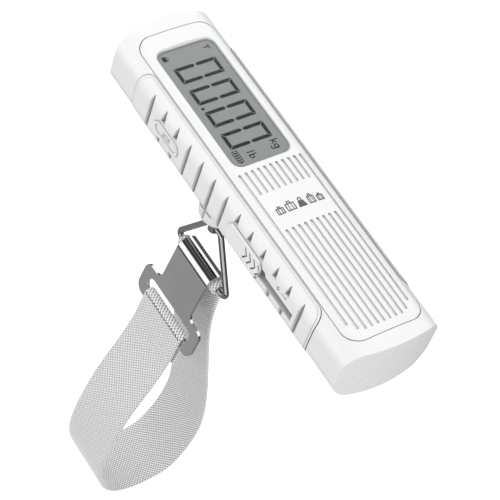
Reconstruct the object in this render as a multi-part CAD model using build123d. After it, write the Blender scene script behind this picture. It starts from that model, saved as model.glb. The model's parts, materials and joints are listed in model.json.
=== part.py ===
"""Hand-held digital luggage scale with a thumb-slide generator and a webbing strap.

Frame: origin at the middle of the handle's length and width, on the crown of the display face.
+X runs along the handle towards the ribbed end, +Y away from the thumb controls, +Z out of the
display.  The strap hangs along -Z.  All lengths are in millimetres.
"""
from build123d import *
import math
import os

# ---- driving dimensions -------------------------------------------------------------------
BODY_LENGTH = 150.4
BODY_WIDTH = 39.4
BODY_DEPTH = 24.7
FACE_CROWN_R = 140.0
BACK_CROWN_R = 160.0
END_BOW_R = 58.8
FACE_CORNER_R = 7.8
BACK_CORNER_R = 8.0
WALL = 2.2

PANEL_LENGTH = 137.4
PANEL_WIDTH = 31.0
PANEL_CORNER_R = 6.0
PANEL_THICK = 2.0
SEAM = 0.25

WINDOW_X = -34.2
WINDOW_LENGTH = 54.0
WINDOW_WIDTH = 23.6
WINDOW_CORNER_R = 3.4
WINDOW_DEPTH = 0.6
LENS_THICK = 0.8
FILM_THICK = 0.1

RIB_PITCH = 2.5
RIB_COUNT = 11
RIB_START_X = -4.5
RIB_END_X = 65.4
RIB_WIDTH = 1.1
RIB_DEPTH = 0.8
LABEL_X = (5.8, 21.1)

GRIP_X = (-57.0, 55.6)
GRIP_TOP_Y = 16.2
GRIP_LOW_Z = -20.6
GRIP_PROUD = 0.35
GRIP_THICK = 2.0
GRIP_CORNER_R = 4.8
GRIP_STEP = 0.15
GRIP_STEP_WIDTH = 0.7
GROOVE_PITCH = 7.9
GROOVE_SIDE = 6
GROOVE_DEPTH = 1.5

BUTTON_X = -35.0
BUTTON_LENGTH = 15.2
BUTTON_HEIGHT = 5.6

CONTROL_Z = -12.6
SLIDER_X = (5.9, 26.3)
SLIDER_HEIGHT = 7.8
SLOT_END_X = 45.4
SLOT_Z = -13.8
SLOT_HEIGHT = 3.4
NECK_HALF = 1.2

STEM_X = -7.2
STEM_Y = -12.2
STEM_R = 2.2
RUN_GAP = 0.05
NOSE_Z = -29.8
PAD_R = 7.0
FOOT_Z = -34.6
RING_Z = -32.3
RING_WIRE_R = 1.15
BAR_Z = -54.8
RING_X = -6.3
RING_TOP_HALF = 3.2
RING_BASE_HALF = 16.6
RING_TOP_BEND_R = 1.3
RING_BASE_BEND_R = 1.7

CLIP_TILT = 9.0
CLIP_HEAD_WIDTH = 19.4
CLIP_FOOT_WIDTH = 36.4
CLIP_LENGTH = 32.7
CLIP_SLOT_ALONG = 25.2
CLIP_SLOT_LENGTH = 28.2
CLIP_SLOT_HEIGHT = 6.0
CLIP_THICK = 1.2
HOOK_R = 3.0
STRAP_X = -7.0
STRAP_WIDTH = 24.4
STRAP_THICK = 1.4

CELL_TOP_Z = -14.0
CELL_THICK = 3.0
CELL_WIDTH = 8.4
CELL_HALF = 13.8
CELL_SCREW_X = 11.6

RACK_PITCH_Y = -13.9
PINION_X = 28.2
RACK_MODULE = 0.6
GEAR_MODULE = 0.5
PINION_TEETH = 12
WHEEL_TEETH = 24
ROTOR_TEETH = 12
PRESSURE_ANGLE = math.radians(25)
GEAR_LINE = math.radians(30)

PCB_TOP_Z = -6.6
PCB_THICK = 1.2
FRAME_LOW_Z = -20.6


# ---- shared outlines ----------------------------------------------------------------------
def section_face(grow):
    """Cross-section of the handle in the YZ plane, grown outwards by grow."""
    half = BODY_WIDTH / 2 + grow
    low = -BODY_DEPTH - grow
    top_edge = grow - half**2 / (2 * FACE_CROWN_R)
    low_edge = low + half**2 / (2 * BACK_CROWN_R)
    with BuildSketch(Plane.YZ) as section:
        with BuildLine():
            ThreePointArc((-half, top_edge), (0, grow), (half, top_edge))
            Line((half, top_edge), (half, low_edge))
            ThreePointArc((half, low_edge), (0, low), (-half, low_edge))
            Line((-half, low_edge), (-half, top_edge))
        make_face()
        fillet(section.vertices().sort_by(Axis.Y)[:2], BACK_CORNER_R + grow)
        fillet(section.vertices().sort_by(Axis.Y)[-2:], FACE_CORNER_R + grow)
    return section.sketch


def plan_prism(grow):
    """Prism with the handle's bowed ends, tall enough to cut the extruded section."""
    reach = BODY_WIDTH
    end = BODY_LENGTH / 2 + grow
    back = end - reach**2 / (2 * END_BOW_R)
    with BuildSketch(Plane.XY.offset(-60)) as plan:
        with BuildLine():
            ThreePointArc((back, -reach), (end, 0), (back, reach))
            Line((back, reach), (-back, reach))
            ThreePointArc((-back, reach), (-end, 0), (-back, -reach))
            Line((-back, -reach), (back, -reach))
        make_face()
    return extrude(plan.sketch, 90)


def handle_solid(grow, end_grow=None):
    """The handle's outer form, grown by grow and with its ends moved by end_grow."""
    ends = grow if end_grow is None else end_grow
    bar = extrude(section_face(grow), BODY_LENGTH, both=True)
    return bar & plan_prism(ends)


def block(x0, x1, y0, y1, z0, z1):
    """Box from its two corners."""
    size = (x1 - x0, y1 - y0, z1 - z0)
    centre = ((x0 + x1) / 2, (y0 + y1) / 2, (z0 + z1) / 2)
    return Pos(*centre) * Box(*size)


def post(x, y, z0, z1, radius):
    """Upright cylinder from z0 to z1."""
    return Pos(x, y, (z0 + z1) / 2) * Cylinder(radius, z1 - z0)


def rod_y(x, z, y0, y1, radius):
    """Cylinder along Y."""
    return Pos(x, (y0 + y1) / 2, z) * Rot(90, 0, 0) * Cylinder(radius, y1 - y0)


def rounded_slab(x, y, length, width, radius, z0, z1):
    """Rounded rectangle standing from z0 to z1."""
    with BuildSketch(Plane.XY.offset(z0)) as outline:
        with Locations((x, y)):
            RectangleRounded(length, width, radius)
    return extrude(outline.sketch, z1 - z0)


def side_prism(face_xz, y0, y1):
    """Extrudes a sketch drawn in the XZ plane from y0 to y1."""
    return Pos(0, y1, 0) * extrude(face_xz, y1 - y0)


def stadium_xz(x, z, length, height):
    """Stadium in the XZ plane, long side along X."""
    with BuildSketch(Plane.XZ) as outline:
        with Locations((x, z)):
            SlotOverall(length, height)
    return outline.sketch


# ---- housing and panels -------------------------------------------------------------------
def grip_outline(shrink, low):
    """Side outline of a grip panel in the XZ plane, from low upwards."""
    x0 = GRIP_X[0] + shrink
    x1 = GRIP_X[1] - shrink
    z1 = 3.0
    with BuildSketch(Plane.XZ) as outline:
        with BuildLine():
            Polyline((x0, low), (x1, low), (x1, z1), (x0, z1), close=True)
        make_face()
    return outline.sketch


def grip_zone(side, shrink, low=GRIP_LOW_Z):
    """Region of one side that a grip panel fills; side is -1 or +1."""
    top = GRIP_TOP_Y + shrink
    length = GRIP_X[1] - GRIP_X[0] - 2 * shrink
    middle = (GRIP_X[0] + GRIP_X[1]) / 2
    tall = side_prism(grip_outline(shrink, low), -40, 0)
    plan = rounded_slab(middle, -(top + 20), length, 40, GRIP_CORNER_R, -45, 5)
    zone = tall & plan
    if side > 0:
        zone = mirror(zone, Plane.XZ)
    return zone


def grip_blank(side):
    """Side grip panel before its grooves: a thin shell with a stepped border."""
    under = handle_solid(GRIP_PROUD - GRIP_THICK)
    border = (handle_solid(GRIP_PROUD - GRIP_STEP) - under) & grip_zone(side, 0)
    middle = (handle_solid(GRIP_PROUD) - under) & grip_zone(side, GRIP_STEP_WIDTH)
    return border + middle


def cut_grooves(panel, side):
    """Cuts the row of upright leaf-shaped grooves."""
    surface = BODY_WIDTH / 2 + GRIP_PROUD
    for k in range(-GROOVE_SIDE, GROOVE_SIDE + 1):
        panel -= groove_cutter(k * GROOVE_PITCH, surface, side)
    return panel


def groove_cutter(x, surface, side):
    """Upright V cut with a steep wall on its -X side; it fades out where the corner turns."""
    deep = surface - GROOVE_DEPTH
    out = surface + 1.0
    with BuildSketch(Plane.XY.offset(NOSE_Z)) as cut:
        with BuildLine():
            Polyline((x - 0.9, side * out), (x, side * deep), (x + 2.9, side * out), close=True)
        make_face()
    return extrude(cut.sketch, 35)


def make_far_grip():
    """Plain grooved grip panel of the far side."""
    return cut_grooves(grip_blank(1), 1)


def make_strap_grip():
    """Strap-side grip panel: carries the boss's upper part, flats for the controls and the slot."""
    under = handle_solid(GRIP_PROUD - GRIP_THICK)
    collar = (boss_solid() - under) & grip_zone(-1, 0)
    panel = cut_grooves(grip_blank(-1) + collar, -1)
    shell = handle_solid(GRIP_PROUD) - under
    button_land = side_prism(stadium_xz(BUTTON_X, CONTROL_Z, BUTTON_LENGTH + 2.2, BUTTON_HEIGHT + 2.2), -40, 0)
    track_land = block(SLIDER_X[0] - 1, SLOT_END_X + 1.6, -40, 0, SLOT_Z - SLOT_HEIGHT / 2 - 0.1, CONTROL_Z + 4.6)
    panel += shell & (button_land + track_land)
    hole = stadium_xz(BUTTON_X, CONTROL_Z, BUTTON_LENGTH + 0.3, BUTTON_HEIGHT + 0.3)
    panel -= side_prism(hole, -40, 0)
    panel -= slot_prism(-40, 0, 0)
    return panel


def slot_prism(y0, y1, grow):
    """Slot for the slider's neck, with a taller mouth where the slider rests."""
    low = SLOT_Z - SLOT_HEIGHT / 2 - grow
    top = SLOT_Z + SLOT_HEIGHT / 2 + grow
    mouth = top + 1.3
    start = SLIDER_X[0] + 2.2 - grow
    end = SLOT_END_X + grow
    with BuildSketch(Plane.XZ) as outline:
        with BuildLine():
            Polyline((start, low), (end, low), (end, top), (29.0 + grow, top), (28.2 + grow, mouth),
                     (24.4, mouth), (23.2, top), (start, top), close=True)
        make_face()
    return side_prism(outline.sketch, y0, y1)


def boss_solid():
    """Rounded nose under the handle that leans in from the side and closes round the stem."""
    levels = [(-15.5, -7.6, -14.2, 5.5), (-19.0, -7.6, -14.1, 5.95), (-21.0, -7.6, -14.0, 6.2), (-23.0, -7.6, -13.8, 6.2),
              (-25.0, -7.6, -13.5, 5.9), (-26.6, -7.5, -13.1, 5.2), (-28.0, -7.3, -12.7, 4.3),
              (-29.1, -7.2, -12.4, 3.4), (NOSE_Z, STEM_X, STEM_Y, 2.7)]
    rounds = []
    for z, x, y, radius in levels:
        rounds.append(Pos(x, y, z) * Circle(radius))
    return loft(rounds)


def case_screw_places():
    """Positions of the four case screws."""
    return [(x, y) for x in (-64.4, 64.4) for y in (-9.5, 9.5)]


def make_housing():
    """One-piece tub: side walls, ends and back, open under the front panel."""
    body = handle_solid(0)
    body += boss_solid() - groove_cutter(-GROOVE_PITCH, BODY_WIDTH / 2 + GRIP_PROUD, -1)
    cavity = handle_solid(-WALL)
    body -= cavity & block(-80, 80, -30, 30, -40, -2.4)
    body -= rounded_slab(0, 0, PANEL_LENGTH - 2.4, PANEL_WIDTH - 2.4, PANEL_CORNER_R - 1, -10, 5)
    recess = rounded_slab(0, 0, PANEL_LENGTH + 2 * SEAM, PANEL_WIDTH + 2 * SEAM, PANEL_CORNER_R, -10, 5)
    body -= recess - handle_solid(-PANEL_THICK - 0.05, 0)
    for side in (-1, 1):
        rebate = grip_zone(side, -SEAM) - handle_solid(GRIP_PROUD - GRIP_THICK - RUN_GAP, 5)
        body -= rebate
    body += post(STEM_X, STEM_Y, -24.0, -20.0, PAD_R) & handle_solid(-WALL + 0.1)
    for end in (-CELL_SCREW_X, CELL_SCREW_X):
        body += post(STEM_X + end, STEM_Y, -24.0, -20.0, 2.4)
        body -= post(STEM_X + end, STEM_Y, -22.3, -19.0, 1.0)
    for x, y in case_screw_places():
        body += post(x, y, -24.0, -19.0, 3.2)
        body -= post(x, y, -30.0, -17.0, 1.25)
        body -= post(x, y, -30.0, -22.4, 2.3)
    for x, y in pcb_screw_places():
        body += post(x, y, -24.0, PCB_TOP_Z - PCB_THICK - 0.02, 2.0) & handle_solid(-WALL + 0.1)
        body -= post(x, y, -14.0, 0, 0.9)
    for x, y in frame_post_places():
        body += post(x, y, -24.0, FRAME_LOW_Z - 0.02, 2.4)
    body -= side_prism(stadium_xz(BUTTON_X, CONTROL_Z, BUTTON_LENGTH + 0.4, BUTTON_HEIGHT + 0.4), -40, -10)
    body -= slot_prism(-40, -10, 0.2)
    body -= post(STEM_X, STEM_Y, -40.0, -10.0, STEM_R + RUN_GAP)
    return body


def window_cutter():
    """Window opening with a sloped border and a ledge under the lens, cut from above."""
    opening = rounded_slab(WINDOW_X, 0, WINDOW_LENGTH, WINDOW_WIDTH, WINDOW_CORNER_R,
                           -WINDOW_DEPTH - LENS_THICK - FILM_THICK - 0.04, 4)
    opening += rounded_slab(WINDOW_X, 0, WINDOW_LENGTH - 1.8, WINDOW_WIDTH - 1.8, WINDOW_CORNER_R - 1, -6, 0)
    slope = 1.1
    with BuildSketch(Plane.XY.offset(-WINDOW_DEPTH - 0.4)) as low:
        with Locations((WINDOW_X, 0)):
            RectangleRounded(WINDOW_LENGTH + 0.2, WINDOW_WIDTH + 0.2, WINDOW_CORNER_R)
    with BuildSketch(Plane.XY.offset(0.3)) as high:
        with Locations((WINDOW_X, 0)):
            RectangleRounded(WINDOW_LENGTH + 2 * slope, WINDOW_WIDTH + 2 * slope, WINDOW_CORNER_R + slope)
    return opening + loft([low.sketch, high.sketch])


def rib_cutters():
    """Long round-ended grooves in the panel, broken by a plain label space in the middle."""
    cuts = []
    middle = (RIB_COUNT - 1) / 2
    for i in range(RIB_COUNT):
        offset = i - middle
        y = offset * RIB_PITCH
        shorten = {5: 3.8, 4: 1.1}.get(abs(offset), 0.0)
        end = RIB_END_X - shorten
        spans = [(RIB_START_X, end)]
        if abs(offset) < middle:
            spans = [(RIB_START_X, LABEL_X[0]), (LABEL_X[1], end)]
        for x0, x1 in spans:
            cuts.append(rounded_slab((x0 + x1) / 2, y, x1 - x0, RIB_WIDTH, RIB_WIDTH / 2 - 0.01, -4, 4))
    return cuts


def make_front_panel():
    """Crowned front panel with the display window, the ribs and four screw posts."""
    skin = handle_solid(0) - handle_solid(-PANEL_THICK)
    panel = skin & rounded_slab(0, 0, PANEL_LENGTH, PANEL_WIDTH, PANEL_CORNER_R, -6, 4)
    grooves = Compound(children=rib_cutters()) - handle_solid(-RIB_DEPTH)
    panel -= grooves
    panel -= window_cutter()
    for x, y in case_screw_places():
        column = post(x, y, -18.9, -1.6, 2.6) & handle_solid(-0.8)
        panel += column
        panel -= post(x, y, -20.0, -10.0, 1.0)
    return panel


def make_case_screws():
    """Four countersunk-style screws that pull the front panel into the tub."""
    screws = []
    for x, y in case_screw_places():
        head = post(x, y, -24.0, -22.5, 2.1)
        shank = post(x, y, -22.6, -11.0, 0.95)
        drive = block(x - 1.2, x + 1.2, y - 0.25, y + 0.25, -24.1, -23.5)
        cross = block(x - 0.25, x + 0.25, y - 1.2, y + 1.2, -24.1, -23.5)
        screws.append(head + shank - drive - cross)
    return Compound(children=screws)


# ---- display ------------------------------------------------------------------------------
def make_display_lens():
    """Clear lens set just below the window's border."""
    top = -WINDOW_DEPTH
    lens = rounded_slab(WINDOW_X, 0, WINDOW_LENGTH - 0.2, WINDOW_WIDTH - 0.2, WINDOW_CORNER_R - 0.1,
                        top - LENS_THICK, top)
    return lens


def make_lcd_film():
    """Grey polarising film that fills the window and rests on its ledge."""
    top = -WINDOW_DEPTH - LENS_THICK - 0.02
    return rounded_slab(WINDOW_X, 0, WINDOW_LENGTH - 0.1, WINDOW_WIDTH - 0.1, WINDOW_CORNER_R - 0.05,
                        top - FILM_THICK, top)


def make_lcd_glass():
    """Liquid-crystal glass under the film."""
    top = -WINDOW_DEPTH - LENS_THICK - FILM_THICK - 0.06
    return block(WINDOW_X - 25.2, WINDOW_X + 25.2, -10.1, 10.1, top - 1.8, top)


def make_lcd_frame():
    """Moulded frame that holds the glass over the board."""
    top = -WINDOW_DEPTH - LENS_THICK
    low = PCB_TOP_Z + 0.05
    outer = block(WINDOW_X - 27.4, WINDOW_X + 27.4, -11.2, 11.2, low, top - 1.3)
    inner = block(WINDOW_X - 25.6, WINDOW_X + 25.6, -10.5, 10.5, low - 1, top + 1)
    return outer - inner


def make_zebra_strips():
    """Two elastomer contact strips between glass and board."""
    top = -WINDOW_DEPTH - LENS_THICK - FILM_THICK - 1.9
    strips = []
    for y in (-9.3, 9.3):
        strips.append(block(WINDOW_X - 24, WINDOW_X + 24, y - 0.9, y + 0.9, PCB_TOP_Z + 0.02, top))
    return Compound(children=strips)


# ---- board --------------------------------------------------------------------------------
def pcb_screw_places():
    """Positions of the three board screws."""
    return [(-59.0, 12.6), (-12.0, 12.6), (-12.0, -1.0)]


def make_main_pcb():
    """Main board with clearance holes and its processor package."""
    low = PCB_TOP_Z - PCB_THICK
    board = block(-64.5, -4.0, -11.5, 14.0, low, PCB_TOP_Z)
    for x, y in case_screw_places():
        board -= post(x, y, -20, 0, 3.0)
    for x, y in pcb_screw_places():
        board -= post(x, y, -20, 0, 1.1)
    board += block(-40, -32, 2, 10, low - 1.3, low)
    return board


def make_pcb_screws():
    """Three small screws for the board."""
    screws = []
    for x, y in pcb_screw_places():
        head = post(x, y, PCB_TOP_Z, PCB_TOP_Z + 0.8, 1.3)
        screws.append(head + post(x, y, -12.5, PCB_TOP_Z + 0.1, 0.85))
    return Compound(children=screws)


def make_tact_switch():
    """Side-acting tact switch behind the unit button, on its own small riser board."""
    riser = block(BUTTON_X - 6, BUTTON_X + 6, -10.4, -9.4, -17.0, PCB_TOP_Z - PCB_THICK - 0.05)
    case = block(BUTTON_X - 3, BUTTON_X + 3, -13.6, -10.4, CONTROL_Z - 3, CONTROL_Z + 3)
    tip = rod_y(BUTTON_X, CONTROL_Z, -14.2, -13.5, 1.4)
    return riser + case + tip


def make_unit_button():
    """Oval push button with a raised rim and a guide flange inside the wall."""
    outer = BODY_WIDTH / 2 + GRIP_PROUD + 0.35
    cap = side_prism(stadium_xz(BUTTON_X, CONTROL_Z, BUTTON_LENGTH, BUTTON_HEIGHT), -outer, -16.4)
    dish = side_prism(stadium_xz(BUTTON_X, CONTROL_Z, BUTTON_LENGTH - 2.0, BUTTON_HEIGHT - 2.0),
                      -outer - 1, -outer + 0.35)
    flange = side_prism(stadium_xz(BUTTON_X, CONTROL_Z, BUTTON_LENGTH + 2.0, BUTTON_HEIGHT + 1.4), -17.3, -16.4)
    plunger = rod_y(BUTTON_X, CONTROL_Z, -16.5, -14.85, 1.3)
    return cap - dish + flange + plunger


def make_supercapacitor():
    """Charge-storing capacitor lying under the board."""
    can = Pos(-50.0, 6.0, -15.4) * Rot(0, 90, 0) * Cylinder(4.0, 15.0)
    ring = Pos(-43.6, 6.0, -15.4) * Rot(0, 90, 0) * (Cylinder(4.2, 0.7) - Cylinder(3.7, 0.7))
    return can - ring


# ---- generator ----------------------------------------------------------------------------
def gear_face(teeth, module, backlash):
    """Spur gear outline with involute flanks and short teeth."""
    pitch_r = teeth * module / 2
    base_r = pitch_r * math.cos(PRESSURE_ANGLE)
    tip_r = pitch_r + 0.8 * module
    root_r = pitch_r - 1.05 * module
    start_r = max(base_r, root_r + 0.02)
    tooth_half = math.pi / (2 * teeth) - backlash / (2 * pitch_r)
    spread = math.tan(PRESSURE_ANGLE) - PRESSURE_ANGLE
    flank = []
    steps = 6
    for i in range(steps + 1):
        r = start_r + (tip_r - start_r) * i / steps
        roll = math.acos(min(1.0, base_r / r))
        flank.append((r, tooth_half + spread - (math.tan(roll) - roll)))
    points = []
    for k in range(teeth):
        middle = 2 * math.pi * k / teeth
        right = [(root_r, flank[0][1])] + flank
        for r, half in right:
            points.append((r * math.cos(middle - half), r * math.sin(middle - half)))
        for r, half in reversed(right):
            points.append((r * math.cos(middle + half), r * math.sin(middle + half)))
    with BuildSketch() as gear:
        with BuildLine():
            Polyline(*points, close=True)
        make_face()
    return gear.sketch


def gear_solid(teeth, module, x, y, z0, z1, turn):
    """Gear standing on z0, turned by turn radians."""
    wheel = extrude(gear_face(teeth, module, 0.08), z1 - z0)
    return Pos(x, y, z0) * Rot(0, 0, math.degrees(turn)) * wheel


def rotor_place():
    """Axis of the generator, one centre distance from the drive gear's axis."""
    distance = GEAR_MODULE * (WHEEL_TEETH + ROTOR_TEETH) / 2
    return PINION_X + distance * math.cos(GEAR_LINE), pinion_y() + distance * math.sin(GEAR_LINE)


def pinion_y():
    """Y of the drive gear's axis, one pitch radius inside the rack's pitch line."""
    return RACK_PITCH_Y + RACK_MODULE * PINION_TEETH / 2


def make_power_slider():
    """Thumb slider: chevron pad outside, neck through the slot, rack inside."""
    face_y = -(BODY_WIDTH / 2 + GRIP_PROUD)
    x0, x1 = SLIDER_X
    half = SLIDER_HEIGHT / 2
    with BuildSketch(Plane.XZ) as outline:
        with BuildLine():
            Polyline((x0, CONTROL_Z - half + 2.2), (x0 + 1.3, CONTROL_Z - half), (x1 - 1.6, CONTROL_Z - half),
                     (x1, CONTROL_Z - half + 2.6), (x1, CONTROL_Z + half - 2.6), (x1 - 1.6, CONTROL_Z + half),
                     (x0 + 1.3, CONTROL_Z + half), (x0, CONTROL_Z + half - 2.2), close=True)
        make_face()
    pad = side_prism(outline.sketch, face_y - 0.95, face_y - 0.12)
    for i in range(4):
        pad -= chevron_cutter(x1 - 9.6 + 2.6 * i, face_y - 0.95)
    neck = block(x0 + 3.0, x1 - 2.0, face_y - 0.2, -15.9, SLOT_Z - NECK_HALF, SLOT_Z + NECK_HALF)
    return pad + neck + rack_solid()


def make_slider_shutter():
    """Thin grey strip that rides with the slider and closes the slot from inside."""
    x0, x1 = SLIDER_X
    strip = block(-11.0, 46.8, -17.42, -16.82, CONTROL_Z - 3.6, CONTROL_Z + 3.6)
    half = NECK_HALF + RUN_GAP
    return strip - block(x0 + 3.0 - RUN_GAP, x1 - 2.0 + RUN_GAP, -18, -16, SLOT_Z - half, SLOT_Z + half)


def make_slot_liner():
    """Grey sleeve that lines the slider's slot through the panel and the wall."""
    return slot_prism(-19.75, -17.5, -0.03) - slot_prism(-25, -10, NECK_HALF + 0.1 - SLOT_HEIGHT / 2)


def chevron_cutter(x, top):
    """One shallow chevron groove that points along +X."""
    reach = SLIDER_HEIGHT / 2 - 1.3
    width = 0.7
    point = 1.6
    with BuildSketch(Plane.XZ) as outline:
        with BuildLine():
            Polyline((x, CONTROL_Z - reach), (x + width, CONTROL_Z - reach), (x + width + point, CONTROL_Z),
                     (x + width, CONTROL_Z + reach), (x, CONTROL_Z + reach), (x + point, CONTROL_Z), close=True)
        make_face()
    return side_prism(outline.sketch, top - 1, top + 0.55)


def rack_solid():
    """Rack on the slider's neck, with straight-sided teeth that face +Y."""
    pitch = math.pi * RACK_MODULE
    slope = math.tan(PRESSURE_ANGLE)
    tip = RACK_PITCH_Y + 0.8 * RACK_MODULE
    root = RACK_PITCH_Y - 1.05 * RACK_MODULE
    half = pitch / 4 - 0.04
    first = -10
    points = [(PINION_X + (first - 0.5) * pitch, -16.0), (PINION_X + (first - 0.5) * pitch, root)]
    for k in range(first, 2):
        middle = PINION_X + (k + 0.5) * pitch
        wide = half + (RACK_PITCH_Y - root) * slope
        narrow = half - (tip - RACK_PITCH_Y) * slope
        points += [(middle - wide, root), (middle - narrow, tip), (middle + narrow, tip), (middle + wide, root)]
    end = PINION_X + 2.2 * pitch
    points += [(end, root), (end, -16.0)]
    with BuildSketch(Plane.XY.offset(CONTROL_Z - 1.8)) as outline:
        with BuildLine():
            Polyline(*points, close=True)
        make_face()
    return extrude(outline.sketch, 3.6)


def make_drive_gear():
    """Compound gear: rack pinion above a larger wheel, on one arbor."""
    x, y = PINION_X, pinion_y()
    pinion = gear_solid(PINION_TEETH, RACK_MODULE, x, y, CONTROL_Z - 2.2, CONTROL_Z + 2.0, -math.pi / 2)
    wheel = gear_solid(WHEEL_TEETH, GEAR_MODULE, x, y, -17.0, -15.2, GEAR_LINE)
    arbor = post(x, y, -20.3, -9.0, 0.9)
    collar = post(x, y, -15.3, CONTROL_Z - 2.1, 1.8)
    return pinion + wheel + arbor + collar


def make_generator_rotor():
    """Generator shaft with its pinion below and the magnet drum inside the can."""
    x, y = rotor_place()
    turn = GEAR_LINE + math.pi + math.pi / ROTOR_TEETH
    pinion = gear_solid(ROTOR_TEETH, GEAR_MODULE, x, y, -17.2, -15.0, turn)
    shaft = post(x, y, -20.3, -4.0, 0.8)
    drum = post(x, y, -8.6, -5.0, 5.0)
    return pinion + shaft + drum


def make_generator_can():
    """Steel can of the generator with bearings for the rotor shaft."""
    x, y = rotor_place()
    can = post(x, y, -9.4, -3.4, 8.0) - post(x, y, -8.9, -4.2, 6.6)
    return can - post(x, y, -10.0, -3.8, 0.8 + RUN_GAP)


def frame_post_places():
    """Pillars between the two plates of the gear frame."""
    return [(21.0, -6.0), (24.0, 5.0), (43.5, 5.5)]


def frame_plate(z0, z1):
    """Flat plate of the gear frame, clear of the rack."""
    plate = block(18.5, 47.0, -11.9, 8.0, z0, z1)
    x, y = PINION_X, pinion_y()
    rx, ry = rotor_place()
    plate -= post(x, y, z0 - 1, z1 + 1, 0.9 + RUN_GAP)
    plate -= post(rx, ry, z0 - 1, z1 + 1, 0.8 + RUN_GAP)
    return plate


def make_gear_frame_base():
    """Lower plate with the three pillars."""
    base = frame_plate(FRAME_LOW_Z, FRAME_LOW_Z + 1.2)
    for x, y in frame_post_places():
        base += post(x, y, -19.5, -10.5, 1.8)
        base -= post(x, y, -16.5, -9.0, 0.8)
    return base


def make_gear_frame_top():
    """Upper plate that carries the generator can."""
    top = frame_plate(-10.45, -9.45)
    for x, y in frame_post_places():
        top -= post(x, y, -12, -8, 0.9)
    return top


def make_gear_frame_screws():
    """Three screws through the upper plate into the pillars."""
    screws = []
    for x, y in frame_post_places():
        head = post(x, y, -9.45, -8.6, 1.5)
        screws.append(head + post(x, y, -15.5, -9.3, 0.75))
    return Compound(children=screws)


# ---- load cell and stem -------------------------------------------------------------------
def make_load_cell():
    """Bending beam across the stem, necked on both sides of its middle."""
    low = CELL_TOP_Z - CELL_THICK
    beam = block(STEM_X - CELL_HALF, STEM_X + CELL_HALF, STEM_Y - CELL_WIDTH / 2, STEM_Y + CELL_WIDTH / 2,
                 low, CELL_TOP_Z)
    beam -= post(STEM_X, STEM_Y, -30, 0, 2.35)
    for side in (-1, 1):
        for edge in (-1, 1):
            beam -= post(STEM_X + side * 6.6, STEM_Y + edge * (CELL_WIDTH / 2 + 0.6), -30, 0, 1.9)
        beam -= post(STEM_X + side * CELL_SCREW_X, STEM_Y, -30, 0, 1.05)
    return beam


def make_strain_gauges():
    """Two foil gauges on the beam's necks."""
    gauges = []
    for side in (-1, 1):
        x = STEM_X + side * 6.6
        gauges.append(block(x - 1.6, x + 1.6, STEM_Y - 1.3, STEM_Y + 1.3, CELL_TOP_Z + 0.01, CELL_TOP_Z + 0.16))
    return Compound(children=gauges)


def make_load_cell_bracket():
    """Steel bracket that spreads the beam's end loads into the tub."""
    low = CELL_TOP_Z - CELL_THICK
    bracket = block(STEM_X - CELL_HALF, STEM_X + CELL_HALF, STEM_Y - 3.6, STEM_Y + 3.6, -19.98, -18.9)
    for side in (-1, 1):
        x = STEM_X + side * CELL_SCREW_X
        bracket += block(x - 2.2, x + 2.2, STEM_Y - 3.6, STEM_Y + 3.6, -19.0, low - 0.02)
        bracket -= post(x, STEM_Y, -30, 0, 1.05)
    bracket -= post(STEM_X, STEM_Y, -30, 0, 2.6)
    return bracket


def make_load_cell_screws():
    """Two screws through the beam's ends."""
    screws = []
    for side in (-1, 1):
        x = STEM_X + side * CELL_SCREW_X
        head = post(x, STEM_Y, CELL_TOP_Z, CELL_TOP_Z + 1.2, 1.8)
        screws.append(head + post(x, STEM_Y, -21.8, CELL_TOP_Z + 0.1, 0.95))
    return Compound(children=screws)


def make_stem():
    """Swivel stem: fluted foot with a flared cross hole for the ring, threaded neck above."""
    foot = post(STEM_X, STEM_Y, FOOT_Z, -17.2, STEM_R)
    foot = fillet(foot.edges().sort_by(Axis.Z)[0], 0.6)
    flutes = 14
    for i in range(flutes):
        angle = 2 * math.pi * (i + 0.5) / flutes
        x = STEM_X + (STEM_R + 0.14) * math.cos(angle)
        y = STEM_Y + (STEM_R + 0.14) * math.sin(angle)
        foot -= post(x, y, FOOT_Z + 0.9, NOSE_Z - 0.1, 0.32)
    neck = post(STEM_X, STEM_Y, -17.3, -10.2, 1.9)
    hole = Cylinder(RING_WIRE_R + RUN_GAP, 20)
    for end in (-1, 1):
        hole += Pos(0, 0, end * (STEM_R - 0.2)) * Rot(90 - 90 * end, 0, 0) * Cone(1.15, 2.35, 1.8)
    return foot + neck - Pos(STEM_X, STEM_Y, RING_Z) * Rot(0, 90, 0) * hole


def make_thrust_washer():
    """Flat washer between the beam and the nut."""
    washer = post(STEM_X, STEM_Y, CELL_TOP_Z + 0.02, CELL_TOP_Z + 0.8, 3.9)
    return washer - post(STEM_X, STEM_Y, -30, 0, 1.95)


def make_stem_nut():
    """Hexagon lock nut on the stem's neck."""
    with BuildSketch(Plane.XY.offset(CELL_TOP_Z + 0.84)) as outline:
        with Locations((STEM_X, STEM_Y)):
            RegularPolygon(3.8, 6)
    nut = extrude(outline.sketch, 2.4)
    return nut - post(STEM_X, STEM_Y, -30, 0, 1.95)


# ---- strap hardware -----------------------------------------------------------------------
def ring_wire():
    """Closed centre line of the ring in the plane of the stem."""
    plane = Plane(origin=(RING_X, STEM_Y, 0), x_dir=(1, 0, 0), z_dir=(0, -1, 0))
    with BuildLine(plane) as path:
        FilletPolyline((-RING_BASE_HALF, BAR_Z), (-RING_TOP_HALF, RING_Z), (RING_TOP_HALF, RING_Z),
                       (RING_BASE_HALF, BAR_Z), close=True,
                       radius=(RING_BASE_BEND_R, RING_TOP_BEND_R, RING_TOP_BEND_R, RING_BASE_BEND_R))
    return path.wires()[0]


def make_ring():
    """Triangular ring swept from round wire."""
    wire = ring_wire()
    start = Plane(origin=wire @ 0, z_dir=wire % 0)
    profile = start * Circle(RING_WIRE_R)
    return sweep(profile, path=wire)


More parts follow.
